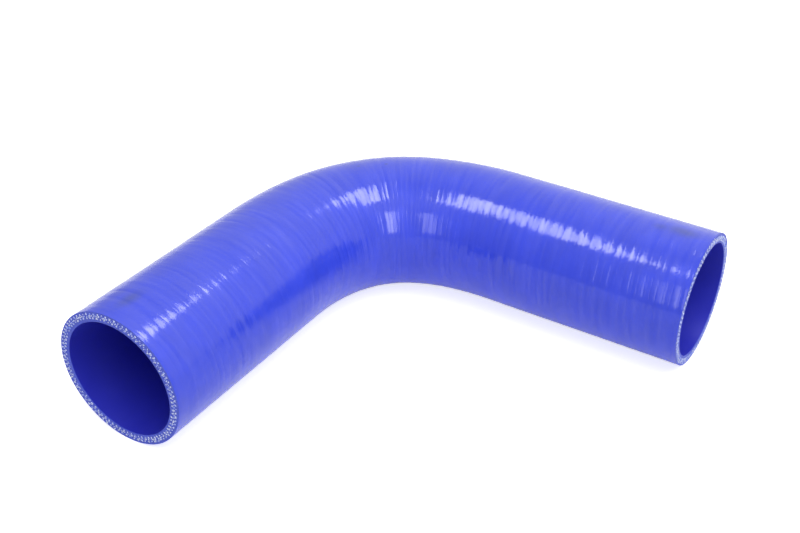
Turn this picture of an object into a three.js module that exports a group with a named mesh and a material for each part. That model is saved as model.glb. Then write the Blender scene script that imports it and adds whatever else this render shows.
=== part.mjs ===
// Moulded silicone elbow coupler for an engine's coolant circuit.
//
// The coupler is a short, wide elbow hose. Calendered silicone and polyester cloth are wrapped
// on a bent mandrel and cured into one piece, and both ends are then cut square with a knife.
// The cloth is bonded inside the wall, so the whole elbow is a single solid with a round bore.
//
// Units are millimetres, with +Z up. The elbow lies flat, as it does on a bench. Its near leg
// runs along -Y and its far leg along +X, and the two leg axes cross at the corner. The origin
// is the centre of the bounding box, on the surface that the elbow rests on.

import * as THREE from "three";

// Driving dimensions
const BORE = 45; // inside diameter, the size that such a coupler is sold by
const WALL = 4; // silicone liner, cloth plies and outer layer together
const LEG_LENGTH = 152; // from the corner to each cut end, along the leg's axis
const BEND_REACH = 69; // from the corner to where each leg becomes straight
const BEND_ANGLE = 90; // the turn between the two legs, in degrees

// Fineness of the facets
const SECTION_SIDES = 56;
const BEND_STEPS = 32;
const LEG_STEPS = 2;

const BORE_RADIUS = BORE / 2;
const OUTER_RADIUS = BORE_RADIUS + WALL;

// The centreline of the elbow: a straight leg, a bend that tightens towards its middle and
// eases out again, and a second straight leg. The bend is a quadratic curve whose control
// point is the corner, so it leaves each leg exactly in line. Equal steps of the curve's
// own parameter are used, and not equal lengths, so that the facets gather in the bend.
class ElbowCentreline extends THREE.Curve {
  constructor(legLength, bendReach, turn) {
    super();
    const corner = new THREE.Vector3(0, 0, 0);
    const alongNearLeg = new THREE.Vector3(0, -1, 0);
    const alongFarLeg = new THREE.Vector3(Math.sin(turn), Math.cos(turn), 0);
    const nearEnd = alongNearLeg.clone().multiplyScalar(legLength);
    const nearTangent = alongNearLeg.clone().multiplyScalar(bendReach);
    const farTangent = alongFarLeg.clone().multiplyScalar(bendReach);
    const farEnd = alongFarLeg.clone().multiplyScalar(legLength);
    this.stretches = [
      { curve: new THREE.LineCurve3(nearEnd, nearTangent), steps: LEG_STEPS },
      { curve: new THREE.QuadraticBezierCurve3(nearTangent, corner, farTangent), steps: BEND_STEPS },
      { curve: new THREE.LineCurve3(farTangent, farEnd), steps: LEG_STEPS },
    ];
    this.steps = this.stretches.reduce((sum, stretch) => sum + stretch.steps, 0);
  }

  // The stretch that holds share t of all the steps, and the share of that stretch reached.
  stretchAt(t) {
    let stepsLeft = t * this.steps;
    for (const stretch of this.stretches) {
      if (stepsLeft <= stretch.steps) return [stretch.curve, stepsLeft / stretch.steps];
      stepsLeft -= stretch.steps;
    }
    return [this.stretches[this.stretches.length - 1].curve, 1];
  }

  getPoint(t, target = new THREE.Vector3()) {
    const [curve, share] = this.stretchAt(t);
    return target.copy(curve.getPoint(share));
  }

  getTangent(t, target = new THREE.Vector3()) {
    const [curve, share] = this.stretchAt(t);
    return target.copy(curve.getTangent(share));
  }

  getUtoTmapping(u) {
    return u;
  }
}

// The wall in section: a round disc with the round bore through it.
function wallSection() {
  const wall = new THREE.Shape();
  wall.absarc(0, 0, OUTER_RADIUS, 0, 2 * Math.PI);
  const bore = new THREE.Path();
  bore.absarc(0, 0, BORE_RADIUS, 0, 2 * Math.PI, true);
  wall.holes.push(bore);
  return wall;
}

// The wall swept along the centreline. A full circle in a shape gets two sides for each of
// its curve segments.
function elbowHose() {
  const centreline = new ElbowCentreline(LEG_LENGTH, BEND_REACH, THREE.MathUtils.degToRad(BEND_ANGLE));
  const geometry = new THREE.ExtrudeGeometry(wallSection(), {
    extrudePath: centreline,
    steps: centreline.steps,
    curveSegments: SECTION_SIDES / 2,
    bevelEnabled: false,
  });
  const silicone = new THREE.MeshStandardMaterial({ color: 0x4757ee, roughness: 0.28, metalness: 0 });
  const hose = new THREE.Mesh(geometry, silicone);
  hose.name = "elbow_hose";
  return hose;
}

// Moves the hose so that the origin is below its middle, on the surface that it rests on.
function restOnSurface(hose) {
  const box = new THREE.Box3().setFromObject(hose, true);
  const centre = box.getCenter(new THREE.Vector3());
  hose.position.set(-centre.x, -centre.y, -box.min.z);
}

const coupler = new THREE.Group();
const hose = elbowHose();
restOnSurface(hose);
coupler.add(hose);

export default coupler;
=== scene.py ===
# %% [markdown]
# # A moulded silicone elbow hose
#
# The real object joins two pipe ends in an engine's coolant circuit. Calendered silicone and
# polyester cloth are wrapped on a bent mandrel, bound tight with a tape, cured, unwrapped and cut
# square at both ends. That leaves three things to see: a glossy blue skin with the faint marks of
# the tape, a smooth bore, and cut ends where the white cloth shows between two blue layers.
#
# The construction model is loaded first, and the hose takes its sizes from it. The finish of the
# silicone, the marks of the tape, the yarn ends and the light are matched to the photograph.

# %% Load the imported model
import math
import bpy
from mathutils import Matrix, Vector


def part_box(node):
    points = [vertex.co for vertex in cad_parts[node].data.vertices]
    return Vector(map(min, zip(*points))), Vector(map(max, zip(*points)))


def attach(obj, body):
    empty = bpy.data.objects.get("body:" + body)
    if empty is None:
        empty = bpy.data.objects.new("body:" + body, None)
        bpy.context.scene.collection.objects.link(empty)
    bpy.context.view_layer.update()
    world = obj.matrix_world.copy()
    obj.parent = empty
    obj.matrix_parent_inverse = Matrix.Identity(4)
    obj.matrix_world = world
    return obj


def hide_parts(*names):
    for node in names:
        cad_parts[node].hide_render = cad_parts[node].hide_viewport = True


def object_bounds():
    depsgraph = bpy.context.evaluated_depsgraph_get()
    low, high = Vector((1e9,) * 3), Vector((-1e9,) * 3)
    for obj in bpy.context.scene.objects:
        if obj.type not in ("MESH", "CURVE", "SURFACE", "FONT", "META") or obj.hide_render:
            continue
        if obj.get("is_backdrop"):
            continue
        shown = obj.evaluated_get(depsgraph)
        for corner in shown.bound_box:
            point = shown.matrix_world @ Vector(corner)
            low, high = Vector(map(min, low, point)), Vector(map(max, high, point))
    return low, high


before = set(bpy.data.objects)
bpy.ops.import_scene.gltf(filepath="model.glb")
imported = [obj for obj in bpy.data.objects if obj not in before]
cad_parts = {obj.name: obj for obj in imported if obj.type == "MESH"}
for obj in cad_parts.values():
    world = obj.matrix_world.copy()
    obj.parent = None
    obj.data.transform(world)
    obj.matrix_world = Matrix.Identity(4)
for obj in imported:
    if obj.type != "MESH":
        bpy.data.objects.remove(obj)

cad_low, cad_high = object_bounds()

# %% [markdown]
# ## Sizes from the construction model
#
# The elbow lies flat, so its height is its outside diameter. Its box then gives the length of a
# leg and the corner, which is the point where the axes of the two legs cross. The wall is the
# distance between the largest and the smallest radius found at the near mouth. Only the reach of
# the bend can't be read from a box, so it is repeated here from the construction model.

# %% Measure the elbow
MM = 0.001  # the scene is in metres
NEAR_MOUTH_SLICE = 0.1 * MM  # vertices this close to the end of the box belong to the near mouth

low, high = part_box("elbow_hose")
outer_radius = (high.z - low.z) / 2
leg_length = high.x - low.x - outer_radius
corner = Vector((low.x + outer_radius, high.y - outer_radius, low.z + outer_radius))
bend_reach = 69 * MM

mouth_radii = [
    math.hypot(vertex.co.x - corner.x, vertex.co.z - corner.z)
    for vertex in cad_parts["elbow_hose"].data.vertices
    if vertex.co.y < low.y + NEAR_MOUTH_SLICE
]
wall = max(mouth_radii) - min(mouth_radii)
print(f"outer radius {outer_radius / MM:.2f} mm, wall {wall / MM:.2f} mm, leg {leg_length / MM:.1f} mm")

# %% [markdown]
# ## The camera
#
# The photograph looks down on the elbow from the side to which both of its mouths open. Its camera
# was worked out from the outline: a lens of about 51 mm, 49 cm from the corner. The picture was
# cropped off-centre, so the lens is shifted a little sideways. The camera is turned by a matrix
# whose columns are its own right, up and backward directions.

# %% Place the camera
scene = bpy.context.scene
camera_place = Vector((179.0, -291.1, 268.7)) * MM
camera_right = Vector((0.86058, 0.50891, 0.02042))
camera_up = Vector((-0.29644, 0.46787, 0.83260))
camera_back = camera_right.cross(camera_up)

camera_data = bpy.data.cameras.new("camera")
camera_data.sensor_width = 36
camera_data.lens = 50.67
camera_data.shift_x = -0.0558
camera_data.shift_y = 0.0104
camera_data.clip_start = 0.01
camera_data.clip_end = 20
camera = bpy.data.objects.new("camera", camera_data)
scene.collection.objects.link(camera)
turn = Matrix((camera_right, camera_up, camera_back)).transposed()
camera.matrix_world = Matrix.Translation(camera_place) @ turn.to_4x4()
scene.camera = camera
scene.view_settings.view_transform = "Standard"
print("the camera is", round((camera_place - corner).length / MM), "mm from the corner")

# %% [markdown]
# ## Colours and nodes
#
# Colours are written as the sRGB hex values that a picture editor shows, and Blender wants linear
# light, so one function converts them. Every material and every shape below is a tree of nodes. One
# function adds a node to any tree, with its settings and with its inputs given as values or as
# links from other nodes. It hands the inputs to a second one, which also fills a node that is
# already there.

# %% Helpers for colours and nodes
def linear(hex_colour):
    """The linear colour, with alpha, of an sRGB hex value such as '#3c4de9'."""
    channels = [int(hex_colour[i:i + 2], 16) / 255 for i in (1, 3, 5)]
    light = [c / 12.92 if c <= 0.04045 else ((c + 0.055) / 1.055) ** 2.4 for c in channels]
    return (*light, 1.0)


def fill(tree, node, inputs):
    """Gives a node's inputs values or links. A list brings several links to one input."""
    for name, value in inputs.items():
        sources = value if isinstance(value, list) else [value]
        for source in sources:
            if isinstance(source, bpy.types.NodeSocket):
                tree.links.new(source, node.inputs[name])
            else:
                node.inputs[name].default_value = source


def add_node(tree, kind, inputs=None, **settings):
    """Adds a node, applies its settings and fills its inputs."""
    node = tree.nodes.new(kind)
    for setting, value in settings.items():
        setattr(node, setting, value)
    fill(tree, node, inputs or {})
    return node


print("middle grey, #808080, is", round(linear("#808080")[0], 3), "in linear light")

# %% [markdown]
# ## The floor
#
# A product photograph like this one is taken on a white sweep of paper. The paper is white here
# because light is added to it that only the camera and the mirror rays see, and not because there
# is more light on the hose. A Light Path node tells which kind of ray is asking.

# %% Lay the white sweep
FLOOR_SIZE = 6.0  # metres
FLOOR_WHITE = "#f2f2f4"
FLOOR_LIFT = 0.75  # light added for the camera, so that the bare floor is pure white
FLOOR_IN_GLOSS = 0.3  # light added for mirror rays

bpy.ops.mesh.primitive_plane_add(size=FLOOR_SIZE, location=(0, 0, low.z))
floor = bpy.context.object
floor.name = "floor"
paper = bpy.data.materials.new("white_paper_sweep")
paper.use_nodes = True
tree = paper.node_tree
tree.nodes.clear()
path = add_node(tree, "ShaderNodeLightPath").outputs
matt = add_node(tree, "ShaderNodeBsdfDiffuse", {"Color": linear(FLOOR_WHITE)})
lift = add_node(tree, "ShaderNodeMath", {
    0: path["Is Camera Ray"], 1: FLOOR_LIFT}, operation="MULTIPLY").outputs[0]
lift = add_node(tree, "ShaderNodeMath", {
    0: path["Is Glossy Ray"], 1: FLOOR_IN_GLOSS, 2: lift}, operation="MULTIPLY_ADD").outputs[0]
glow = add_node(tree, "ShaderNodeEmission", {"Strength": lift})
both = add_node(tree, "ShaderNodeAddShader", {0: matt.outputs[0], 1: glow.outputs[0]})
add_node(tree, "ShaderNodeOutputMaterial", {"Surface": both.outputs[0]})
floor.data.materials.append(paper)
floor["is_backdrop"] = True
print("floor at z =", round(low.z / MM, 3), "mm")

# %% [markdown]
# ## The room
#
# The hose's gloss mirrors the room. It is dark behind the camera, lighter to the right, on the
# white sweep behind the elbow and on the upper walls, and darker again straight overhead, between
# the softboxes. Each of these adds a gain times a simple function of the ray's direction.
#
# The level of the light is plain: a colour comes out about as it is written. So matt surfaces see
# the world at a low strength, and the camera sees it at a strength of 1, which is pure white.

# %% Light the room
ROOM_LEVEL = 0.64  # how bright the gloss sees the room behind the camera
ROOM_RIGHT = 0.45  # what the right-hand side of the room adds to that
ROOM_BEHIND = 0.8  # what the white sweep behind the elbow adds
ROOM_OVERHEAD = 0.92  # what the upper walls and the ceiling add
ROOM_ZENITH = -0.60  # straight overhead, between the softboxes, the ceiling is dark
ZENITH_POWER = 8.0  # higher makes that dark part of the ceiling smaller
SKY_FILL = 0.30  # the world's strength for light that falls on matt surfaces

world = bpy.data.worlds.new("white_studio")
scene.world = world
world.use_nodes = True
tree = world.node_tree
tree.nodes.clear()
path = add_node(tree, "ShaderNodeLightPath").outputs
way = add_node(tree, "ShaderNodeTexCoord").outputs["Generated"]
way = add_node(tree, "ShaderNodeSeparateXYZ", {0: way}).outputs
behind = add_node(tree, "ShaderNodeMath", {0: way["Y"], 1: 0.0}, operation="MAXIMUM").outputs[0]
overhead = add_node(tree, "ShaderNodeMath", {0: way["Z"], 1: way["Z"]}, operation="MULTIPLY").outputs[0]
zenith = add_node(tree, "ShaderNodeMath", {0: overhead, 1: ZENITH_POWER}, operation="POWER").outputs[0]
room = ROOM_LEVEL
for part, gain in ((way["X"], ROOM_RIGHT), (behind, ROOM_BEHIND), (overhead, ROOM_OVERHEAD),
                   (zenith, ROOM_ZENITH)):
    room = add_node(tree, "ShaderNodeMath", {
        0: part, 1: gain, 2: room}, operation="MULTIPLY_ADD").outputs[0]
gloss_or_fill = add_node(tree, "ShaderNodeMix", {
    0: path["Is Glossy Ray"], 2: SKY_FILL, 3: room}, data_type="FLOAT").outputs[0]
seen = add_node(tree, "ShaderNodeMath", {
    0: path["Is Camera Ray"], 1: path["Is Transmission Ray"]}, operation="MAXIMUM").outputs[0]
strength = add_node(tree, "ShaderNodeMix", {
    0: seen, 2: gloss_or_fill, 3: 1.0}, data_type="FLOAT").outputs[0]
sky = add_node(tree, "ShaderNodeBackground", {"Color": (1.0, 1.0, 1.0, 1.0), "Strength": strength})
add_node(tree, "ShaderNodeOutputWorld", {"Surface": sky.outputs[0]})
print(world.name, "has", len(tree.nodes), "nodes")

# %% [markdown]
# ## The softboxes
#
# Two softboxes hang overhead, one on each side, and two more stand left and right of the camera.
# Each gives a bright patch in the gloss. They show in the gloss only, and one broad lamp, high up
# and a little to the right of the camera, lights the matt surfaces.
#
# Each lamp is a rectangle that faces the elbow. Its place is given as an azimuth from +X and an
# angle down from straight overhead, both read from where its patch lies on the hose. Brightness
# is given as radiance, that is, how bright its face looks. Times pi and the lamp's area, that is
# the lamp's power.

# %% Hang the softboxes
LAMPS = [
    # name, azimuth, angle from overhead and turn on its own axis in degrees, distance, width and
    # height in metres, radiance, and whether it shows in gloss or lights matt surfaces
    ("left_overhead_softbox", -145.5, 23.3, -7, 0.70, 0.295, 0.162, 8.7, "gloss"),
    ("right_overhead_softbox", 45, 21.6, -7, 0.70, 0.385, 0.190, 8.1, "gloss"),
    ("right_front_softbox", -32, 60.7, -5, 0.70, 0.190, 0.486, 5.4, "gloss"),
    ("left_front_softbox", -85.6, 60.6, -3, 0.40, 0.085, 0.272, 2.9, "gloss"),
    ("broad_front_key", -27, 21, 0, 3.0, 3.0, 3.0, 2.89, "matt"),
]
middle = (low + high) / 2
for name, azimuth, from_overhead, roll, distance, width, height, radiance, lights in LAMPS:
    across = math.radians(azimuth)
    down = math.radians(from_overhead)
    outward = Vector((
        math.sin(down) * math.cos(across), math.sin(down) * math.sin(across), math.cos(down)))
    lamp_data = bpy.data.lights.new(name, "AREA")
    lamp_data.shape = "RECTANGLE"
    lamp_data.size = width
    lamp_data.size_y = height
    lamp_data.energy = radiance * math.pi * width * height
    lamp = bpy.data.objects.new(name, lamp_data)
    scene.collection.objects.link(lamp)
    lamp.location = middle + outward * distance
    facing = outward.to_track_quat("Z", "Y").to_matrix() @ Matrix.Rotation(math.radians(roll), 3, "Z")
    lamp.rotation_euler = facing.to_euler()
    lamp.visible_camera = False
    lamp.visible_diffuse = lights == "matt"
    lamp.visible_glossy = lights == "gloss"
    print(f"{name}: {lamp_data.energy:.1f} W")

# %% [markdown]
# ## The centreline
#
# The hose takes its shape from the mandrel: a straight leg, a bend and a straight leg. The bend
# is a quadratic curve whose middle control point is the corner, so it leaves both legs exactly in
# line and is tightest halfway. Geometry Nodes has each of these curves as a node. Sample Curve
# can read several curves as one, in the order in which they were joined, so a distance along the
# whole hose is enough to ask for a point and a direction.
#
# The tree's inputs are the three sizes that place the elbow. Every tree that needs the centreline
# has the same three inputs and hands them on to it. The ends of the legs and of the bend are
# placed first, with the corner at the origin.

# %% The points that the centreline runs through
SIZES = [("Leg length", "Float"), ("Bend reach", "Float"), ("Corner", "Vector")]


def new_geometry_tree(name, inputs, outputs):
    """A Geometry Nodes tree with named inputs and outputs, given as (name, kind) pairs."""
    tree = bpy.data.node_groups.new(name, "GeometryNodeTree")
    for label, kind in inputs:
        tree.interface.new_socket(label, in_out="INPUT", socket_type="NodeSocket" + kind)
    for label, kind in outputs:
        tree.interface.new_socket(label, in_out="OUTPUT", socket_type="NodeSocket" + kind)
    return tree, tree.nodes.new("NodeGroupInput").outputs, tree.nodes.new("NodeGroupOutput").inputs


centreline, given, result = new_geometry_tree("hose_centreline", SIZES, [
    ("Curve", "Geometry"), ("Length", "Float")])
minus_leg = add_node(centreline, "ShaderNodeMath", {
    0: given["Leg length"], 1: -1.0}, operation="MULTIPLY").outputs[0]
minus_reach = add_node(centreline, "ShaderNodeMath", {
    0: given["Bend reach"], 1: -1.0}, operation="MULTIPLY").outputs[0]
near_end = add_node(centreline, "ShaderNodeCombineXYZ", {"Y": minus_leg}).outputs[0]
near_tangent = add_node(centreline, "ShaderNodeCombineXYZ", {"Y": minus_reach}).outputs[0]
far_tangent = add_node(centreline, "ShaderNodeCombineXYZ", {"X": given["Bend reach"]}).outputs[0]
far_end = add_node(centreline, "ShaderNodeCombineXYZ", {"X": given["Leg length"]}).outputs[0]
print(centreline.name, "has the inputs", [label for label, _ in SIZES])

# %% [markdown]
# The three curves are then drawn between those points, joined and moved to the corner. Join
# Geometry takes its newest link first, so the near leg, where the hose starts, is linked last. The
# tree also gives the length of the whole hose, because the far cut end is placed by it.

# %% A tree for the centreline
CURVE_STEPS = 512  # straight pieces in the bend, more than the hose has rings there

near_leg = add_node(centreline, "GeometryNodeCurvePrimitiveLine", {
    "Start": near_end, "End": near_tangent}).outputs[0]
bend = add_node(centreline, "GeometryNodeCurveQuadraticBezier", {
    "Resolution": CURVE_STEPS, "Start": near_tangent, "Middle": (0, 0, 0),
    "End": far_tangent}).outputs[0]
far_leg = add_node(centreline, "GeometryNodeCurvePrimitiveLine", {
    "Start": far_tangent, "End": far_end}).outputs[0]
joined = add_node(centreline, "GeometryNodeJoinGeometry", {0: [far_leg, bend, near_leg]}).outputs[0]
placed = add_node(centreline, "GeometryNodeTransform", {
    "Geometry": joined, "Translation": given["Corner"]}).outputs[0]
leg_part = add_node(centreline, "GeometryNodeCurveLength", {0: near_leg}).outputs[0]
bend_part = add_node(centreline, "GeometryNodeCurveLength", {0: bend}).outputs[0]
two_legs = add_node(centreline, "ShaderNodeMath", {0: leg_part, 1: 2.0}, operation="MULTIPLY").outputs[0]
whole = add_node(centreline, "ShaderNodeMath", {0: two_legs, 1: bend_part}).outputs[0]
centreline.links.new(placed, result["Curve"])
centreline.links.new(whole, result["Length"])
print(centreline.name, "has", len(centreline.nodes), "nodes")

# %% [markdown]
# ## From a straight pipe to a bent one
#
# Everything on the hose is first made on a straight pipe along X, where a point is a distance
# along the pipe and a place across it. This tree then lays that pipe along the centreline: X
# becomes the distance along the curve, Y points sideways in the plane of the bend, and Z stays
# up. Before a point moves, its place on the straight pipe is stored as the attribute "unbent", so
# the materials can follow the hose round its bend.

# %% A tree that bends a straight pipe
def sizes_from(given):
    """The three sizes that a tree was given, to hand on to a tree inside it."""
    return {label: given[label] for label, _ in SIZES}


along_curve, given, result = new_geometry_tree("lay_along_centreline", [
    ("Geometry", "Geometry"), *SIZES], [("Geometry", "Geometry")])
line = add_node(along_curve, "GeometryNodeGroup", sizes_from(given), node_tree=centreline)
straight_place = add_node(along_curve, "GeometryNodeInputPosition").outputs[0]
remembered = add_node(along_curve, "GeometryNodeStoreNamedAttribute", {
    "Geometry": given["Geometry"], "Name": "unbent", "Value": straight_place},
    data_type="FLOAT_VECTOR", domain="POINT").outputs[0]
parts = add_node(along_curve, "ShaderNodeSeparateXYZ", {0: straight_place}).outputs
sample = add_node(along_curve, "GeometryNodeSampleCurve", {
    "Curves": line.outputs["Curve"], "Length": parts["X"]},
    mode="LENGTH", use_all_curves=True).outputs
sideways = add_node(along_curve, "ShaderNodeVectorMath", {
    0: (0, 0, 1), 1: sample["Tangent"]}, operation="CROSS_PRODUCT").outputs[0]
aside = add_node(along_curve, "ShaderNodeVectorMath", {
    0: sideways, "Scale": parts["Y"]}, operation="SCALE").outputs[0]
lifted = add_node(along_curve, "ShaderNodeCombineXYZ", {"Z": parts["Z"]}).outputs[0]
level = add_node(along_curve, "ShaderNodeVectorMath", {0: sample["Position"], 1: aside}).outputs[0]
bent = add_node(along_curve, "ShaderNodeVectorMath", {0: level, 1: lifted}).outputs[0]
moved = add_node(along_curve, "GeometryNodeSetPosition", {"Geometry": remembered, "Position": bent})
along_curve.links.new(moved.outputs[0], result["Geometry"])
print(along_curve.name, "has", len(along_curve.nodes), "nodes")

# %% [markdown]
# ## One sleeve of the wall
#
# Seen in section along its length, the wall is a closed loop: along the skin, over the far cut
# end, back along the bore and over the near cut end. Each stretch of that loop, turned round the
# axis, is a sleeve, and a sleeve may be a cylinder, a cone or a flat ring. So one tree makes a
# sleeve between two corners of the loop, and the wall is a ring of sleeves whose rims meet.

# %% A tree for one sleeve
sleeve, given, result = new_geometry_tree("sleeve", [
    ("From along", "Float"), ("From radius", "Float"), ("To along", "Float"), ("To radius", "Float"),
    ("Rings", "Int"), ("Sides", "Int"), ("Material", "Material")], [("Mesh", "Geometry")])
axis = add_node(sleeve, "GeometryNodeCurvePrimitiveLine", {"Start": (0, 0, 0), "End": (1, 0, 0)})
stations = add_node(sleeve, "GeometryNodeResampleCurve", {
    "Curve": axis.outputs[0], "Count": given["Rings"]}, mode="COUNT")
section = add_node(sleeve, "GeometryNodeCurvePrimitiveCircle", {
    "Resolution": given["Sides"], "Radius": 1.0})
unit_pipe = add_node(sleeve, "GeometryNodeCurveToMesh", {
    "Curve": stations.outputs[0], "Profile Curve": section.outputs["Curve"]})
unit_place = add_node(sleeve, "GeometryNodeInputPosition").outputs[0]
unit = add_node(sleeve, "ShaderNodeSeparateXYZ", {0: unit_place}).outputs
along = add_node(sleeve, "ShaderNodeMapRange", {
    "Value": unit["X"], "To Min": given["From along"], "To Max": given["To along"]}).outputs[0]
radius = add_node(sleeve, "ShaderNodeMapRange", {
    "Value": unit["X"], "To Min": given["From radius"], "To Max": given["To radius"]}).outputs[0]
across_y = add_node(sleeve, "ShaderNodeMath", {0: unit["Y"], 1: radius}, operation="MULTIPLY").outputs[0]
across_z = add_node(sleeve, "ShaderNodeMath", {0: unit["Z"], 1: radius}, operation="MULTIPLY").outputs[0]
place = add_node(sleeve, "ShaderNodeCombineXYZ", {"X": along, "Y": across_y, "Z": across_z})
shaped = add_node(sleeve, "GeometryNodeSetPosition", {
    "Geometry": unit_pipe.outputs[0], "Position": place.outputs[0]})
finished = add_node(sleeve, "GeometryNodeSetMaterial", {
    "Geometry": shaped.outputs[0], "Material": given["Material"]})
sleeve.links.new(finished.outputs[0], result["Mesh"])
print(sleeve.name, "has", len(sleeve.nodes), "nodes")

# %% [markdown]
# ## The marks of the wrapping tape
#
# The tape that binds the hose during the cure presses each of its turns into a low bulge, with a
# groove where one turn ends and the next begins. The bulges are a few millimetres long and less
# than a tenth of a millimetre high. They are too shallow to see by themselves, and still they
# shape the whole look, because they break every highlight into teeth.
#
# The tape winds at a slight slant. The point from which its pattern is read is the place on the
# straight pipe with that slant in it, and it is stored as the attribute "wound", so the skin's
# material can continue the same grooves at a finer scale than the mesh.

# %% Where the pattern of the tape is read
TAPE_LEAN = 0.045  # how far along the hose the tape runs for each unit of height

tape_marks, given, result = new_geometry_tree("tape_marks", [
    ("Mesh", "Geometry"), ("Outer radius", "Float")], [("Mesh", "Geometry")])
straight_place = add_node(tape_marks, "GeometryNodeInputPosition").outputs[0]
parts = add_node(tape_marks, "ShaderNodeSeparateXYZ", {0: straight_place}).outputs
lean = add_node(tape_marks, "ShaderNodeMath", {
    0: parts["Z"], 1: TAPE_LEAN, 2: parts["X"]}, operation="MULTIPLY_ADD").outputs[0]
wound = add_node(tape_marks, "ShaderNodeCombineXYZ", {
    "X": lean, "Y": parts["Y"], "Z": parts["Z"]}).outputs[0]
remembered = add_node(tape_marks, "GeometryNodeStoreNamedAttribute", {
    "Geometry": given["Mesh"], "Name": "wound", "Value": wound},
    data_type="FLOAT_VECTOR", domain="POINT").outputs[0]
print(f"the tape leans by {math.degrees(math.atan(TAPE_LEAN)):.1f} degrees")

# %% [markdown]
# ### How deep the marks are
#
# A sawtooth wave counts from 0 to 1 over each turn of the tape, and its distance from one half,
# squared, is the form of a bulge. The square is a quarter at most, so it is multiplied by four
# times the depth. Every second turn lies a little deeper, so there are two such waves.

# %% The bulges of the tape
TAPE_PITCH = 2.7 * MM  # from one edge of the tape to the next
TAPE_DEPTH = 0.014 * MM
TAPE_REACH = 24 * MM  # how far round the hose the edges of the tape stray alike
WRAP_PITCH = 2 * TAPE_PITCH  # every second turn
WRAP_DEPTH = 0.050 * MM
TAPE_WAVE = {
    "Scale": 2 * math.pi / 20,  # the wave texture makes 20 radians of wave a unit
    "Distortion": 4.0,  # how far, in radians, the edges stray from an even pitch
    "Detail": 1.0,
    "Detail Scale": 1.2,
}

marks = 0.0
for pitch, depth in ((TAPE_PITCH, TAPE_DEPTH), (WRAP_PITCH, WRAP_DEPTH)):
    counted = add_node(tape_marks, "ShaderNodeVectorMath", {
        0: wound, 1: (1 / pitch, 1 / TAPE_REACH, 1 / TAPE_REACH)}, operation="MULTIPLY").outputs[0]
    saw = add_node(tape_marks, "ShaderNodeTexWave", {"Vector": counted, **TAPE_WAVE},
                   wave_type="BANDS", bands_direction="X", wave_profile="SAW").outputs["Fac"]
    from_crest = add_node(tape_marks, "ShaderNodeMath", {0: saw, 1: 0.5}, operation="SUBTRACT").outputs[0]
    bulge = add_node(tape_marks, "ShaderNodeMath", {
        0: from_crest, 1: from_crest}, operation="MULTIPLY").outputs[0]
    marks = add_node(tape_marks, "ShaderNodeMath", {
        0: bulge, 1: 4 * depth, 2: marks}, operation="MULTIPLY_ADD").outputs[0]
    print(f"a bulge every {pitch / MM:.1f} mm, {depth / MM:.3f} mm deep")

# %% [markdown]
# Two patterns of noise add the unevenness of hand work: short ripples and slow swells. Each is
# stretched round the hose, as the tape's own marks are. Noise from 0 to 1 is seldom near either
# end, so only what lies above its usual lowest value counts as depth.

# %% The ripples and swells between them
RIPPLE_PITCH = 3.0 * MM
RIPPLE_REACH = 24 * MM  # how far round the hose one ripple keeps its form
RIPPLE_DEPTH = 0.08 * MM
SWELL_PITCH = 15 * MM
SWELL_REACH = 30 * MM
SWELL_DEPTH = 0.16 * MM
NOISE_LOW = 0.3  # noise is seldom lower than this
NOISE_HIGH = 0.7  # and seldom higher than this

for pitch, reach, depth, detail in (
        (RIPPLE_PITCH, RIPPLE_REACH, RIPPLE_DEPTH, 1.0), (SWELL_PITCH, SWELL_REACH, SWELL_DEPTH, 0.0)):
    counted = add_node(tape_marks, "ShaderNodeVectorMath", {
        0: wound, 1: (1 / pitch, 1 / reach, 1 / reach)}, operation="MULTIPLY").outputs[0]
    noise = add_node(tape_marks, "ShaderNodeTexNoise", {
        "Vector": counted, "Scale": 1.0, "Detail": detail, "Roughness": 0.4}).outputs[0]
    uneven = add_node(tape_marks, "ShaderNodeMapRange", {
        "Value": noise, "From Min": NOISE_LOW, "From Max": NOISE_LOW + 1, "To Max": depth}).outputs[0]
    marks = add_node(tape_marks, "ShaderNodeMath", {0: uneven, 1: marks}).outputs[0]
deepest = TAPE_DEPTH + WRAP_DEPTH + (NOISE_HIGH - NOISE_LOW) * (RIPPLE_DEPTH + SWELL_DEPTH)
print(f"the marks are at most about {deepest / MM:.2f} mm deep")

# %% [markdown]
# ### Where the tape lies smooth
#
# On the inner side of the bend the tape lies smoother, so the marks fade there to about a quarter
# of their depth. The place is an ellipsoid on the straight pipe, and the distance from its middle,
# counted in its own sizes, says how much of the marks is left.

# %% Calm the marks inside the bend
CALM_PLACE = (156 * MM, -23.4 * MM, 12.4 * MM)
CALM_SIZE = (36 * MM, 16 * MM, 16 * MM)  # from its middle to its edge, along and across the hose
CALM_CORE = 0.3  # the share of that distance inside which the tape is calmest
CALM_DEPTH = 0.28  # the share of the marks' depth that is left there

from_calm = add_node(tape_marks, "ShaderNodeVectorMath", {
    0: straight_place, 1: CALM_PLACE}, operation="SUBTRACT").outputs[0]
from_calm = add_node(tape_marks, "ShaderNodeVectorMath", {
    0: from_calm, 1: CALM_SIZE}, operation="DIVIDE").outputs[0]
from_calm = add_node(tape_marks, "ShaderNodeVectorMath", {
    0: from_calm}, operation="LENGTH").outputs["Value"]
loose = add_node(tape_marks, "ShaderNodeMapRange", {
    "Value": from_calm, "From Min": CALM_CORE, "To Min": CALM_DEPTH, "To Max": 1.0},
    interpolation_type="SMOOTHSTEP").outputs[0]
depth = add_node(tape_marks, "ShaderNodeMath", {0: marks, 1: loose}, operation="MULTIPLY").outputs[0]
print("the calm place is", round(2 * CALM_SIZE[0] / MM), "mm long")

# %% [markdown]
# ### Press the marks in
#
# The marks fade out below the skin, which leaves the cut ends flat and the bore smooth. All of
# this only presses into the skin, so the hose never grows past its true radius.

# %% Press the marks into the skin
MARKED_LAYER = 0.4 * MM  # the marks fade out over this distance below the skin

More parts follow.
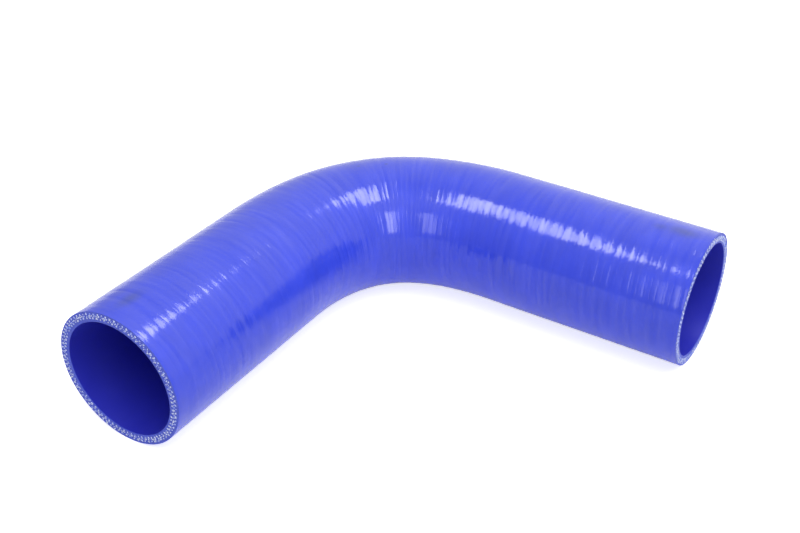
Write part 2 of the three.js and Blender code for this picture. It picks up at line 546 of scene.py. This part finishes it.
from_axis = add_node(tape_marks, "ShaderNodeVectorMath", {
    0: straight_place, 1: (0, 1, 1)}, operation="MULTIPLY").outputs[0]
radius = add_node(tape_marks, "ShaderNodeVectorMath", {
    0: from_axis}, operation="LENGTH").outputs["Value"]
inner_edge = add_node(tape_marks, "ShaderNodeMath", {
    0: given["Outer radius"], 1: MARKED_LAYER}, operation="SUBTRACT").outputs[0]
on_skin = add_node(tape_marks, "ShaderNodeMapRange", {
    "Value": radius, "From Min": inner_edge, "From Max": given["Outer radius"]}).outputs[0]
inward = add_node(tape_marks, "ShaderNodeMath", {0: depth, 1: on_skin}, operation="MULTIPLY").outputs[0]
inward = add_node(tape_marks, "ShaderNodeMath", {0: inward, 1: -1.0}, operation="MULTIPLY").outputs[0]
outwards = add_node(tape_marks, "ShaderNodeVectorMath", {0: from_axis}, operation="NORMALIZE").outputs[0]
pressed = add_node(tape_marks, "ShaderNodeVectorMath", {
    0: outwards, "Scale": inward}, operation="SCALE").outputs[0]
marked = add_node(tape_marks, "GeometryNodeSetPosition", {"Geometry": remembered, "Offset": pressed})
tape_marks.links.new(marked.outputs[0], result["Mesh"])
print(tape_marks.name, "has", len(tape_marks.nodes), "nodes")

# %% [markdown]
# ## Silicone, seen three ways
#
# The hose is one rubber: silicone with a strong ultramarine pigment. Where it cured against the
# tape it is glossy, where it cured on the polished mandrel it is a little duller and smooth, and
# where the knife went through it is matt and paler, because the torn surface scatters light.
# Silicone has an index of refraction of about 1.41, and the pigment raises that a little.
#
# The skin comes first. Its patterns read the attributes "unbent" and "wound". A slow cloudiness
# changes its shade and its roughness, as handling does.

# %% Start the skin's material
SILICONE_IOR = 1.5
CLOUD_SIZE = 11 * MM


def new_material(name):
    """A material with an empty tree, and its Principled shader already linked to the output."""
    material = bpy.data.materials.new(name)
    material.use_nodes = True
    material.node_tree.nodes.clear()
    shader = add_node(material.node_tree, "ShaderNodeBsdfPrincipled")
    add_node(material.node_tree, "ShaderNodeOutputMaterial", {"Surface": shader.outputs[0]})
    return material, material.node_tree, shader


skin, tree, shader = new_material("silicone_cured_against_tape")
unbent = add_node(tree, "ShaderNodeAttribute", attribute_name="unbent").outputs["Vector"]
wound = add_node(tree, "ShaderNodeAttribute", attribute_name="wound").outputs["Vector"]
clouds = add_node(tree, "ShaderNodeTexNoise", {
    "Vector": unbent, "Scale": 1 / CLOUD_SIZE, "Detail": 3.0, "Roughness": 0.55}).outputs[0]
print(skin.name, "has clouds of about", round(CLOUD_SIZE / MM), "mm")

# %% [markdown]
# ### Smudges and a dull patch
#
# Three grey smudges and two specks of dust are where the photograph shows them. On the inner side
# of the near leg the whole skin is a little duller, so it mirrors the far leg only softly. Each of
# these is a soft spot, an ellipse that fades out to nothing at its edge.

# %% Place the smudges
# distance along the hose in mm, angle in degrees up from the horizontal on the inner side of the
# bend, then half the length and half the width in mm, and the strength
SMUDGES = [
    (266.5, 90, 9.0, 4.6, 0.64),
    (258.0, 88, 4.5, 3.4, 0.38),
    (11.5, 92, 8.5, 4.2, 0.52),
    (130.8, 94, 1.1, 0.9, 0.7),
    (141.8, 91, 1.1, 0.9, 0.7),
]
DULL_PATCH = (68, 18, 62, 19, 0.11)  # the same, where the strength is added to the roughness
SMUDGE_THIN = 0.7  # the share of its strength that a smudge has where the clouds are dark
SMUDGE_FULL = 0.6  # the value of the clouds from which it has all of its strength


def soft_spot(along, angle, half_length, half_width, strength):
    """A spot on the skin that has this strength in the middle and fades out to nothing."""
    around = math.radians(angle)
    spot = Vector((along * MM, -outer_radius * math.cos(around), outer_radius * math.sin(around)))
    offset = add_node(tree, "ShaderNodeVectorMath", {0: unbent, 1: spot}, operation="SUBTRACT")
    shrink = (1 / (half_length * MM), 1 / (half_width * MM), 1 / (half_width * MM))
    shrunk = add_node(tree, "ShaderNodeVectorMath", {
        0: offset.outputs[0], 1: shrink}, operation="MULTIPLY")
    far = add_node(tree, "ShaderNodeVectorMath", {0: shrunk.outputs[0]}, operation="LENGTH")
    return add_node(tree, "ShaderNodeMapRange", {
        "Value": far.outputs["Value"], "From Min": 1.0, "From Max": 0.0, "To Max": strength},
        interpolation_type="SMOOTHSTEP").outputs[0]


grime = 0.0
for smudge in SMUDGES:
    grime = add_node(tree, "ShaderNodeMath", {
        0: grime, 1: soft_spot(*smudge)}, operation="MAXIMUM").outputs[0]
patchy = add_node(tree, "ShaderNodeMapRange", {
    "Value": clouds, "From Min": NOISE_LOW, "From Max": SMUDGE_FULL,
    "To Min": SMUDGE_THIN, "To Max": 1.0}).outputs[0]
grime = add_node(tree, "ShaderNodeMath", {0: grime, 1: patchy}, operation="MULTIPLY").outputs[0]
dullness = soft_spot(*DULL_PATCH)
print("the skin has", len(SMUDGES), "smudges and specks")

# %% [markdown]
# ### The skin's colour and roughness
#
# The clouds make the blue a little darker or lighter and the gloss a little softer or sharper. A
# smudge mixes grey into the blue and makes it duller.

# %% Colour and roughness of the skin
SILICONE_BLUE = "#3b4fe9"
SMUDGE_GREY = "#3d4d8c"
CLOUD_SHADE = (0.94, 1.05)  # times the blue, in the dark and in the light parts of the clouds
SKIN_ROUGHNESS = (0.105, 0.165)
SMUDGE_ROUGHNESS = 0.06

shade = add_node(tree, "ShaderNodeMapRange", {
    "Value": clouds, "From Min": NOISE_LOW, "From Max": NOISE_HIGH,
    "To Min": CLOUD_SHADE[0], "To Max": CLOUD_SHADE[1]}).outputs[0]
blue = add_node(tree, "ShaderNodeMix", {
    0: 1.0, 6: linear(SILICONE_BLUE), 7: shade}, data_type="RGBA", blend_type="MULTIPLY").outputs[2]
colour = add_node(tree, "ShaderNodeMix", {
    0: grime, 6: blue, 7: linear(SMUDGE_GREY)}, data_type="RGBA").outputs[2]
roughness = add_node(tree, "ShaderNodeMapRange", {
    "Value": clouds, "From Min": NOISE_LOW, "From Max": NOISE_HIGH,
    "To Min": SKIN_ROUGHNESS[0], "To Max": SKIN_ROUGHNESS[1]}).outputs[0]
roughness = add_node(tree, "ShaderNodeMath", {
    0: grime, 1: SMUDGE_ROUGHNESS, 2: roughness}, operation="MULTIPLY_ADD").outputs[0]
roughness = add_node(tree, "ShaderNodeMath", {0: roughness, 1: dullness}).outputs[0]
fill(tree, shader, {"Base Color": colour, "Roughness": roughness, "IOR": SILICONE_IOR})
print("the clean skin's roughness runs from", *SKIN_ROUGHNESS)

# %% [markdown]
# ### Grooves, streaks and bands
#
# Between two turns of the tape a thin groove runs round the hose, and its surface is covered in
# fine streaks. Both are too fine for the mesh, so a Bump node tilts the shading instead. Some
# bands of the skin are glossier than others.

# %% Grooves, streaks and bands of the skin
STREAK_PITCH = 0.9 * MM
STREAK_REACH = 14 * MM
STREAK_HEIGHT = 0.014 * MM
GROOVE_SHARPNESS = 30  # higher makes a narrower groove
GROOVE_DEPTH = 0.011 * MM
BAND_PITCH = 1.7 * MM
BAND_REACH = 22 * MM
BAND_OFFSET = (7, 3, 5)  # takes the bands from another part of the noise than the streaks
BAND_SHEEN = (0.38, 0.62)

streak_place = add_node(tree, "ShaderNodeMapping", {
    "Vector": wound, "Scale": (1 / STREAK_PITCH, 1 / STREAK_REACH, 1 / STREAK_REACH)}).outputs[0]
streaks = add_node(tree, "ShaderNodeTexNoise", {
    "Vector": streak_place, "Scale": 1.0, "Detail": 2.0, "Roughness": 0.6}).outputs[0]
groove_place = add_node(tree, "ShaderNodeMapping", {
    "Vector": wound, "Scale": (1 / TAPE_PITCH, 1 / TAPE_REACH, 1 / TAPE_REACH)}).outputs[0]
grooves = add_node(tree, "ShaderNodeTexWave", {"Vector": groove_place, **TAPE_WAVE},
                   wave_type="BANDS", bands_direction="X", wave_profile="SIN").outputs["Fac"]
grooves = add_node(tree, "ShaderNodeMath", {0: 1.0, 1: grooves}, operation="SUBTRACT").outputs[0]
grooves = add_node(tree, "ShaderNodeMath", {
    0: grooves, 1: GROOVE_SHARPNESS}, operation="POWER").outputs[0]
height = add_node(tree, "ShaderNodeMath", {0: streaks, 1: STREAK_HEIGHT}, operation="MULTIPLY").outputs[0]
height = add_node(tree, "ShaderNodeMath", {
    0: grooves, 1: -GROOVE_DEPTH, 2: height}, operation="MULTIPLY_ADD").outputs[0]
bump = add_node(tree, "ShaderNodeBump", {
    "Strength": 1.0, "Distance": 1.0, "Height": height}).outputs[0]
band_place = add_node(tree, "ShaderNodeMapping", {
    "Vector": wound, "Location": BAND_OFFSET,
    "Scale": (1 / BAND_PITCH, 1 / BAND_REACH, 1 / BAND_REACH)}).outputs[0]
bands = add_node(tree, "ShaderNodeTexNoise", {
    "Vector": band_place, "Scale": 1.0, "Detail": 1.0}).outputs[0]
sheen = add_node(tree, "ShaderNodeMapRange", {
    "Value": bands, "From Min": NOISE_LOW, "From Max": NOISE_HIGH,
    "To Min": BAND_SHEEN[0], "To Max": BAND_SHEEN[1]}).outputs[0]
fill(tree, shader, {"Specular IOR Level": sheen, "Normal": bump})
print(skin.name, "has", len(tree.nodes), "nodes")

# %% [markdown]
# ### The bore
#
# The mandrel leaves the bore smooth and even, so it only has the clouds, and these only change its
# roughness. It is less glossy than the skin. Its blue is darker than the skin's, though it is the same
# silicone: that darker blue is painted shade for the dim inside of the bore.

# %% Material of the bore
# darker than the skin's blue: painted shade for the inside of the bore, whose silicone is the same
BORE_BLUE_WITH_PAINTED_SHADE = "#2f34c4"
BORE_ROUGHNESS = (0.36, 0.46)

bore_with_painted_shade, tree, shader = new_material("bore_silicone_with_painted_shade")
unbent = add_node(tree, "ShaderNodeAttribute", attribute_name="unbent").outputs["Vector"]
clouds = add_node(tree, "ShaderNodeTexNoise", {
    "Vector": unbent, "Scale": 1 / CLOUD_SIZE, "Detail": 2.0}).outputs[0]
roughness = add_node(tree, "ShaderNodeMapRange", {
    "Value": clouds, "From Min": NOISE_LOW, "From Max": NOISE_HIGH,
    "To Min": BORE_ROUGHNESS[0], "To Max": BORE_ROUGHNESS[1]}).outputs[0]
fill(tree, shader, {"Base Color": linear(BORE_BLUE_WITH_PAINTED_SHADE), "Roughness": roughness, "IOR": SILICONE_IOR})
print(bore_with_painted_shade.name, "has", len(tree.nodes), "nodes")

# %% [markdown]
# ### The cut faces
#
# The knife tears the silicone a little, which leaves a fine grain. It breaks up both the shade and
# the surface.

# %% Material of the cut faces
CUT_BLUE = "#3f54d8"
CUT_SHADE = (0.82, 1.1)  # times the blue, in the dark and in the light parts of the grain
CUT_ROUGHNESS = 0.5
CUT_GRAIN = 0.5 * MM  # coarser than the real grain, so that it shows
CUT_GRAIN_DEPTH = 0.1 * MM

cut_face, tree, shader = new_material("silicone_cut_with_knife")
unbent = add_node(tree, "ShaderNodeAttribute", attribute_name="unbent").outputs["Vector"]
grain = add_node(tree, "ShaderNodeTexNoise", {
    "Vector": unbent, "Scale": 1 / CUT_GRAIN, "Detail": 2.0}).outputs[0]
shade = add_node(tree, "ShaderNodeMapRange", {
    "Value": grain, "From Min": NOISE_LOW, "From Max": NOISE_HIGH,
    "To Min": CUT_SHADE[0], "To Max": CUT_SHADE[1]}).outputs[0]
colour = add_node(tree, "ShaderNodeMix", {
    0: 1.0, 6: linear(CUT_BLUE), 7: shade}, data_type="RGBA", blend_type="MULTIPLY").outputs[2]
bump = add_node(tree, "ShaderNodeBump", {
    "Strength": 0.6, "Distance": CUT_GRAIN_DEPTH, "Height": grain}).outputs[0]
fill(tree, shader, {
    "Base Color": colour, "Roughness": CUT_ROUGHNESS, "IOR": SILICONE_IOR, "Normal": bump})
print(cut_face.name, "has", len(tree.nodes), "nodes")

# %% [markdown]
# ## The loop of the wall
#
# Now the loop of the wall is written as a list of corners, each a distance along the hose and a
# radius. The knife leaves a square edge, but no edge is perfectly sharp, so each of the four rims
# is broken by about a tenth of a millimetre. The silicone of the cut ends lies about a quarter of
# a millimetre inside the true length, which leaves room for the yarn ends that stand proud of it.

# %% The corners of the wall
wall_tree, given, result = new_geometry_tree("hose_wall", [
    ("Geometry", "Geometry"), *SIZES, ("Outer radius", "Float"), ("Wall", "Float"), ("Rim", "Float"),
    ("Recess", "Float"), ("Sides", "Int"), ("Skin rings", "Int"), ("Bore rings", "Int"),
    ("Cut rings", "Int"), ("Skin", "Material"), ("Bore", "Material"), ("Cut", "Material")],
    [("Geometry", "Geometry")])
line = add_node(wall_tree, "GeometryNodeGroup", sizes_from(given), node_tree=centreline)
near_face = given["Recess"]
outside = given["Outer radius"]
near_rim = add_node(wall_tree, "ShaderNodeMath", {0: near_face, 1: given["Rim"]}).outputs[0]
far_face = add_node(wall_tree, "ShaderNodeMath", {
    0: line.outputs["Length"], 1: given["Recess"]}, operation="SUBTRACT").outputs[0]
far_rim = add_node(wall_tree, "ShaderNodeMath", {
    0: far_face, 1: given["Rim"]}, operation="SUBTRACT").outputs[0]
outside_rim = add_node(wall_tree, "ShaderNodeMath", {
    0: outside, 1: given["Rim"]}, operation="SUBTRACT").outputs[0]
inside = add_node(wall_tree, "ShaderNodeMath", {
    0: outside, 1: given["Wall"]}, operation="SUBTRACT").outputs[0]
inside_rim = add_node(wall_tree, "ShaderNodeMath", {0: inside, 1: given["Rim"]}).outputs[0]
loop = [
    # corner of the loop, then the rings and the material of the sleeve that leaves it
    (near_rim, outside, given["Skin rings"], given["Skin"]),
    (far_rim, outside, 2, given["Cut"]),
    (far_face, outside_rim, given["Cut rings"], given["Cut"]),
    (far_face, inside_rim, 2, given["Cut"]),
    (far_rim, inside, given["Bore rings"], given["Bore"]),
    (near_rim, inside, 2, given["Cut"]),
    (near_face, inside_rim, given["Cut rings"], given["Cut"]),
    (near_face, outside_rim, 2, given["Cut"]),
]
print("the loop of the wall has", len(loop), "corners")

# %% [markdown]
# ## From the loop to the hose
#
# One sleeve joins each corner to the next, the doubled rims are merged, the tape marks are pressed
# in, and the pipe is laid along the centreline. The faces are shaded smooth, except across an edge
# that is sharper than 30 degrees, which here means the rims.

# %% Join, mark and bend the sleeves
MERGE_DISTANCE = 0.002 * MM
SHARP_ANGLE = math.radians(30)

sleeves = []
for here, following in zip(loop, loop[1:] + loop[:1]):
    sleeves.append(add_node(wall_tree, "GeometryNodeGroup", {
        "From along": here[0], "From radius": here[1], "To along": following[0],
        "To radius": following[1], "Rings": here[2], "Sides": given["Sides"],
        "Material": here[3]}, node_tree=sleeve).outputs[0])
ring = add_node(wall_tree, "GeometryNodeJoinGeometry", {0: sleeves})
closed = add_node(wall_tree, "GeometryNodeMergeByDistance", {
    "Geometry": ring.outputs[0], "Distance": MERGE_DISTANCE})
marked = add_node(wall_tree, "GeometryNodeGroup", {
    "Mesh": closed.outputs[0], "Outer radius": outside}, node_tree=tape_marks)
bent = add_node(wall_tree, "GeometryNodeGroup", {
    "Geometry": marked.outputs[0], **sizes_from(given)}, node_tree=along_curve)
smooth = add_node(wall_tree, "GeometryNodeSetShadeSmooth", {"Geometry": bent.outputs[0]}, domain="FACE")
edge_angle = add_node(wall_tree, "GeometryNodeInputMeshEdgeAngle").outputs[0]
is_sharp = add_node(wall_tree, "FunctionNodeCompare", {
    0: edge_angle, 1: SHARP_ANGLE}, data_type="FLOAT", operation="GREATER_THAN").outputs[0]
creased = add_node(wall_tree, "GeometryNodeSetShadeSmooth", {
    "Geometry": smooth.outputs[0], "Selection": is_sharp, "Shade Smooth": False}, domain="EDGE")
real = add_node(wall_tree, "GeometryNodeRealizeInstances", {0: creased.outputs[0]})
wall_tree.links.new(real.outputs[0], result["Geometry"])
print(wall_tree.name, "has", len(wall_tree.nodes), "nodes")

# %% [markdown]
# A tree does nothing until a modifier runs it. The next function gives a new object the modifier,
# sets its inputs by their identifiers, takes the evaluated result as a plain mesh and drops the
# modifier, so what rides on the frame is an ordinary closed mesh at the origin.
#
# The rings of the skin are close enough together to carry the marks of the tape. Their number
# follows from the length of the hose, and a quadratic curve that turns a square corner is
# 1 + asinh(1) / sqrt(2) times as long as its reach.

# %% Make the hose
RIM_BREAK = 0.12 * MM
CUT_RECESS = 0.26 * MM
SIDES = 96
RING_SPACING = 0.36 * MM
BORE_RINGS = 90
CUT_RINGS = 8


def mesh_from_tree(name, tree, values):
    """A plain mesh object made by a Geometry Nodes tree whose named inputs have these values."""
    starter = bpy.data.objects.new(name + "_starter", bpy.data.meshes.new(name + "_starter"))
    scene.collection.objects.link(starter)
    modifier = starter.modifiers.new("shape", "NODES")
    modifier.node_group = tree
    for item in tree.interface.items_tree:
        if item.in_out == "INPUT" and item.name in values:
            modifier[item.identifier] = values[item.name]
    starter.update_tag()
    evaluated = starter.evaluated_get(bpy.context.evaluated_depsgraph_get())
    mesh = bpy.data.meshes.new_from_object(evaluated)
    bpy.data.objects.remove(starter)
    for slot_index in reversed(range(len(mesh.materials))):
        if mesh.materials[slot_index] is None:
            mesh.materials.pop(index=slot_index)
    mesh.name = name
    piece = bpy.data.objects.new(name, mesh)
    scene.collection.objects.link(piece)
    return piece


centreline_sizes = {"Leg length": leg_length, "Bend reach": bend_reach, "Corner": corner}
bend_length = bend_reach * (1 + math.asinh(1) / math.sqrt(2))
hose_length = 2 * (leg_length - bend_reach) + bend_length
skin_rings = round(hose_length / RING_SPACING)
hose = mesh_from_tree("silicone_hose", wall_tree, {
    **centreline_sizes, "Outer radius": outer_radius, "Wall": wall, "Rim": RIM_BREAK,
    "Recess": CUT_RECESS, "Sides": SIDES, "Skin rings": skin_rings, "Bore rings": BORE_RINGS,
    "Cut rings": CUT_RINGS, "Skin": skin, "Bore": bore_with_painted_shade, "Cut": cut_face})
print(f"{hose.name} is {hose_length / MM:.1f} mm long, with {skin_rings} rings in its skin")

# %% [markdown]
# A closed mesh has exactly two faces at each edge, and the volume inside it is the sum of the
# small pyramids between the origin and its triangles. Faces that point outwards make that sum
# positive, so one printed line shows whether the mesh is sound.

# %% Measure the hose
def report(piece):
    """Prints what a closed mesh holds: its triangles, its open edges and the volume inside it."""
    mesh = piece.data
    mesh.calc_loop_triangles()
    uses = {}
    for polygon in mesh.polygons:
        for key in polygon.edge_keys:
            uses[key] = uses.get(key, 0) + 1
    volume = sum(
        mesh.vertices[t.vertices[0]].co.cross(mesh.vertices[t.vertices[1]].co).dot(
            mesh.vertices[t.vertices[2]].co) for t in mesh.loop_triangles) / 6
    not_paired = sum(1 for count in uses.values() if count != 2)
    print(f"{piece.name}: {len(mesh.loop_triangles)} triangles, {not_paired} open edges, "
          f"{volume * 1e6:.2f} cm3, materials {[m.name for m in mesh.materials]}")


report(hose)

# %% [markdown]
# ## The yarn ends in the cut faces
#
# The cloth is wound round the mandrel like a roll of carpet, so in the cut it is one long spiral
# of a little over three turns. The knife cuts its yarns across, and each shows as a short white
# stroke. A woven yarn goes over and under its neighbours, so the strokes lean to and fro and make
# a zigzag. They could be painted with a texture, but real ends stand a little proud and catch the
# light, so they are modelled.
#
# Points lie along a spiral curve, the same even number in each turn, so the turns line up.

# %% Points along the rolled cloth
YARNS_PER_TURN = 172
CLOTH_TURNS = 3.1
CLOTH_START = 0.9 * MM  # from the bore to the innermost turn of the cloth
CLOTH_END = 0.75 * MM  # from the outermost turn of the cloth to the skin

yarn_tree, given, result = new_geometry_tree("yarn_ends", [
    ("Geometry", "Geometry"), *SIZES, ("Outer radius", "Float"), ("Wall", "Float"),
    ("Recess", "Float"), ("Cloth start", "Float"), ("Cloth end", "Float"), ("Turns", "Float"),
    ("Yarns per turn", "Int"), ("Yarn size", "Vector"), ("Lean", "Float"), ("Scatter", "Float"),
    ("Yarn", "Material")], [("Geometry", "Geometry")])
line = add_node(yarn_tree, "GeometryNodeGroup", sizes_from(given), node_tree=centreline)
bore_radius = add_node(yarn_tree, "ShaderNodeMath", {
    0: given["Outer radius"], 1: given["Wall"]}, operation="SUBTRACT").outputs[0]
first_radius = add_node(yarn_tree, "ShaderNodeMath", {
    0: bore_radius, 1: given["Cloth start"]}).outputs[0]
last_radius = add_node(yarn_tree, "ShaderNodeMath", {
    0: given["Outer radius"], 1: given["Cloth end"]}, operation="SUBTRACT").outputs[0]
spiral = add_node(yarn_tree, "GeometryNodeCurveSpiral", {
    "Resolution": given["Yarns per turn"], "Rotations": given["Turns"],
    "Start Radius": first_radius, "End Radius": last_radius, "Height": 0.0})
points = add_node(yarn_tree, "GeometryNodeCurveToPoints", {
    "Curve": spiral.outputs[0]}, mode="EVALUATED").outputs
print("each cut face gets about", round(YARNS_PER_TURN * CLOTH_TURNS), "yarn ends")

# %% [markdown]
# ### The zigzag
#
# Every second column of points leans to the left and the others to the right. Away from the
# middle of the cloth the points are moved along the spiral too, so each column leans as a whole.

# %% Which way each yarn leans
index = add_node(yarn_tree, "GeometryNodeInputIndex").outputs[0]
parity = add_node(yarn_tree, "ShaderNodeMath", {0: index, 1: 2.0}, operation="MODULO").outputs[0]
side = add_node(yarn_tree, "ShaderNodeMapRange", {
    "Value": parity, "To Min": -1.0, "To Max": 1.0}).outputs[0]
spiral_place = add_node(yarn_tree, "GeometryNodeInputPosition").outputs[0]
spiral_radius = add_node(yarn_tree, "ShaderNodeVectorMath", {
    0: spiral_place}, operation="LENGTH").outputs["Value"]
middle_radius = add_node(yarn_tree, "ShaderNodeMath", {0: first_radius, 1: last_radius}).outputs[0]
middle_radius = add_node(yarn_tree, "ShaderNodeMath", {
    0: middle_radius, 1: 0.5}, operation="MULTIPLY").outputs[0]
from_middle = add_node(yarn_tree, "ShaderNodeMath", {
    0: spiral_radius, 1: middle_radius}, operation="SUBTRACT").outputs[0]
steepness = add_node(yarn_tree, "ShaderNodeMath", {0: given["Lean"]}, operation="TANGENT").outputs[0]
shift = add_node(yarn_tree, "ShaderNodeMath", {
    0: from_middle, 1: steepness}, operation="MULTIPLY").outputs[0]
shift = add_node(yarn_tree, "ShaderNodeMath", {0: shift, 1: side}, operation="MULTIPLY").outputs[0]
zigzag = add_node(yarn_tree, "ShaderNodeVectorMath", {
    0: points["Tangent"], "Scale": shift}, operation="SCALE").outputs[0]
lie = add_node(yarn_tree, "FunctionNodeAlignRotationToVector", {
    "Vector": points["Tangent"]}, axis="X", pivot_axis="Z").outputs[0]
print(yarn_tree.name, "has", len(yarn_tree.nodes), "nodes so far")

# %% [markdown]
# ### A stroke on each point
#
# Each point carries a small stroke, an ellipsoid of a few dozen faces. A little scatter in its
# place, lean and size, from a fixed seed, keeps the rows from looking drawn. A fourth random value
# says how much silicone soaked into the yarn. The rows of the two cut faces differ, so each face
# has its own seed and its own turn of the roll.

# %% The strokes of both cut faces
YARN_WOBBLE = 0.35  # how much the lean differs from yarn to yarn, as a share of the lean
YARN_SMALLEST = 0.6
YARN_LARGEST = 1.3
SQUARE_TO_HOSE = (0, math.radians(90), 0)

far_face = add_node(yarn_tree, "ShaderNodeMath", {
    0: line.outputs["Length"], 1: given["Recess"]}, operation="SUBTRACT").outputs[0]
stroke = add_node(yarn_tree, "GeometryNodeMeshUVSphere", {
    "Segments": 8, "Rings": 6, "Radius": 0.5}).outputs[0]
ends = []
# seed, distance along the hose, and turn of the roll about the hose's axis in radians
for seed, face, start_turn in ((11, given["Recess"], 0.9), (29, far_face, 3.7)):
    growth = add_node(yarn_tree, "FunctionNodeRandomValue", {
        2: YARN_SMALLEST, 3: YARN_LARGEST, "Seed": seed}, data_type="FLOAT").outputs[1]
    wobble = add_node(yarn_tree, "FunctionNodeRandomValue", {
        2: -YARN_WOBBLE, 3: YARN_WOBBLE, "Seed": seed + 1}, data_type="FLOAT").outputs[1]
    soak = add_node(yarn_tree, "FunctionNodeRandomValue", {
        2: 0.0, 3: 1.0, "Seed": seed + 2}, data_type="FLOAT").outputs[1]
    stray = add_node(yarn_tree, "FunctionNodeRandomValue", {
        0: (-1, -1, 0), 1: (1, 1, 0), "Seed": seed + 3}, data_type="FLOAT_VECTOR").outputs[0]
    stray = add_node(yarn_tree, "ShaderNodeVectorMath", {
        0: stray, "Scale": given["Scatter"]}, operation="SCALE").outputs[0]
    offset = add_node(yarn_tree, "ShaderNodeVectorMath", {0: zigzag, 1: stray}).outputs[0]
    strewn = add_node(yarn_tree, "GeometryNodeSetPosition", {
        "Geometry": points[0], "Offset": offset}).outputs[0]
    leaning = add_node(yarn_tree, "ShaderNodeMath", {0: side, 1: wobble}).outputs[0]
    angle = add_node(yarn_tree, "ShaderNodeMath", {
        0: leaning, 1: given["Lean"]}, operation="MULTIPLY").outputs[0]
    tilt = add_node(yarn_tree, "FunctionNodeAxisAngleToRotation", {
        "Axis": (0, 0, 1), "Angle": angle}).outputs[0]
    turned = add_node(yarn_tree, "FunctionNodeRotateRotation", {
        0: lie, 1: tilt}, rotation_space="LOCAL").outputs[0]
    size = add_node(yarn_tree, "ShaderNodeVectorMath", {
        0: given["Yarn size"], "Scale": growth}, operation="SCALE").outputs[0]
    strokes = add_node(yarn_tree, "GeometryNodeInstanceOnPoints", {
        "Points": strewn, "Instance": stroke, "Rotation": turned, "Scale": size}).outputs[0]
    soaked = add_node(yarn_tree, "GeometryNodeStoreNamedAttribute", {
        "Geometry": strokes, "Name": "soak", "Value": soak},
        data_type="FLOAT", domain="INSTANCE").outputs[0]
    solid = add_node(yarn_tree, "GeometryNodeRealizeInstances", {0: soaked}).outputs[0]
    rolled = add_node(yarn_tree, "GeometryNodeTransform", {
        "Geometry": solid, "Rotation": (0, 0, start_turn)}).outputs[0]
    place = add_node(yarn_tree, "ShaderNodeCombineXYZ", {"X": face}).outputs[0]
    stood = add_node(yarn_tree, "GeometryNodeTransform", {
        "Geometry": rolled, "Translation": place, "Rotation": SQUARE_TO_HOSE}).outputs[0]
    ends.append(stood)
print("yarn ends for", len(ends), "cut faces")

# %% [markdown]
# The strokes now stand in the ends of the straight pipe. The tree that bends the wall lays them
# along the centreline too, so they stay in its cut faces. The export drops instances, so the
# strokes are real faces before they get their material.

# %% Bend and finish the yarn ends
both_ends = add_node(yarn_tree, "GeometryNodeJoinGeometry", {0: ends}).outputs[0]
bent = add_node(yarn_tree, "GeometryNodeGroup", {
    "Geometry": both_ends, **sizes_from(given)}, node_tree=along_curve).outputs[0]
smooth = add_node(yarn_tree, "GeometryNodeSetShadeSmooth", {"Geometry": bent}, domain="FACE").outputs[0]
real = add_node(yarn_tree, "GeometryNodeRealizeInstances", {0: smooth}).outputs[0]
woven = add_node(yarn_tree, "GeometryNodeSetMaterial", {
    "Geometry": real, "Material": given["Yarn"]}).outputs[0]
yarn_tree.links.new(woven, result["Geometry"])
print(yarn_tree.name, "has", len(yarn_tree.nodes), "nodes")

# %% [markdown]
# ## Polyester yarn
#
# The yarn is raw white polyester, a bundle of fine filaments. Cut across, it is matt and a little
# fuzzy. The uncured silicone soaked into some of the bundles, so some ends are nearly white and
# others pale blue, by the random value that each stroke carries.

# %% The yarn's material
POLYESTER_WHITE = "#dde5ff"
POLYESTER_SOAKED = "#7894f6"
POLYESTER_ROUGHNESS = 0.75
POLYESTER_IOR = 1.5
DRY_SHARE = 0.45  # of all the yarns, those that took up no silicone
MOST_SOAKED = 0.9  # how far the wettest yarn is from white to the soaked colour

polyester, tree, shader = new_material("polyester_yarn_cut")
soak = add_node(tree, "ShaderNodeAttribute", attribute_name="soak").outputs["Fac"]
amount = add_node(tree, "ShaderNodeMapRange", {
    "Value": soak, "From Min": DRY_SHARE, "From Max": 1.0, "To Min": 0.0,
    "To Max": MOST_SOAKED}).outputs[0]
colour = add_node(tree, "ShaderNodeMix", {
    0: amount, 6: linear(POLYESTER_WHITE), 7: linear(POLYESTER_SOAKED)}, data_type="RGBA").outputs[2]
fill(tree, shader, {
    "Base Color": colour, "Roughness": POLYESTER_ROUGHNESS, "IOR": POLYESTER_IOR})
print(polyester.name, "has", len(tree.nodes), "nodes")

# %% [markdown]
# A stroke is longer through the cloth than along its row, and is drawn about as coarse as it looks
# in the photograph. Half of it stands out of the cut face, and the other half is inside the
# silicone, where it holds fast.

# %% Make the yarn ends
YARN_HEIGHT = 0.78 * MM
YARN_WIDTH = 0.44 * MM
YARN_PROUD = 0.19 * MM
YARN_LEAN = math.radians(27)
YARN_SCATTER = 0.16 * MM

yarn_ends = mesh_from_tree("polyester_yarn_ends", yarn_tree, {
    **centreline_sizes, "Outer radius": outer_radius, "Wall": wall, "Recess": CUT_RECESS,
    "Cloth start": CLOTH_START, "Cloth end": CLOTH_END, "Turns": CLOTH_TURNS,
    "Yarns per turn": YARNS_PER_TURN, "Yarn size": (YARN_WIDTH, YARN_HEIGHT, 2 * YARN_PROUD),
    "Lean": YARN_LEAN, "Scatter": YARN_SCATTER, "Yarn": polyester})
report(yarn_ends)

# %% [markdown]
# ## Fasten the pieces to the frame
#
# The hose and its yarn ends are one body. The new hose stands for the plain solid of the construction
# model, which then isn't shown. At the end, the sizes of the dressed hose are printed beside those of the
# construction model's box. The dressed hose has to stay inside the box of the construction model.

# %% Ride, replace and compare
for piece, slot in ((hose, "silicone_rubber"), (yarn_ends, "polyester_ply")):
    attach(piece, "root")
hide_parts("elbow_hose")

new_low, new_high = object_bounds()
for name, new, old in zip("XYZ", new_high - new_low, cad_high - cad_low):
    print(f"{name}: {new / MM:.2f} mm, construction model {old / MM:.2f} mm")
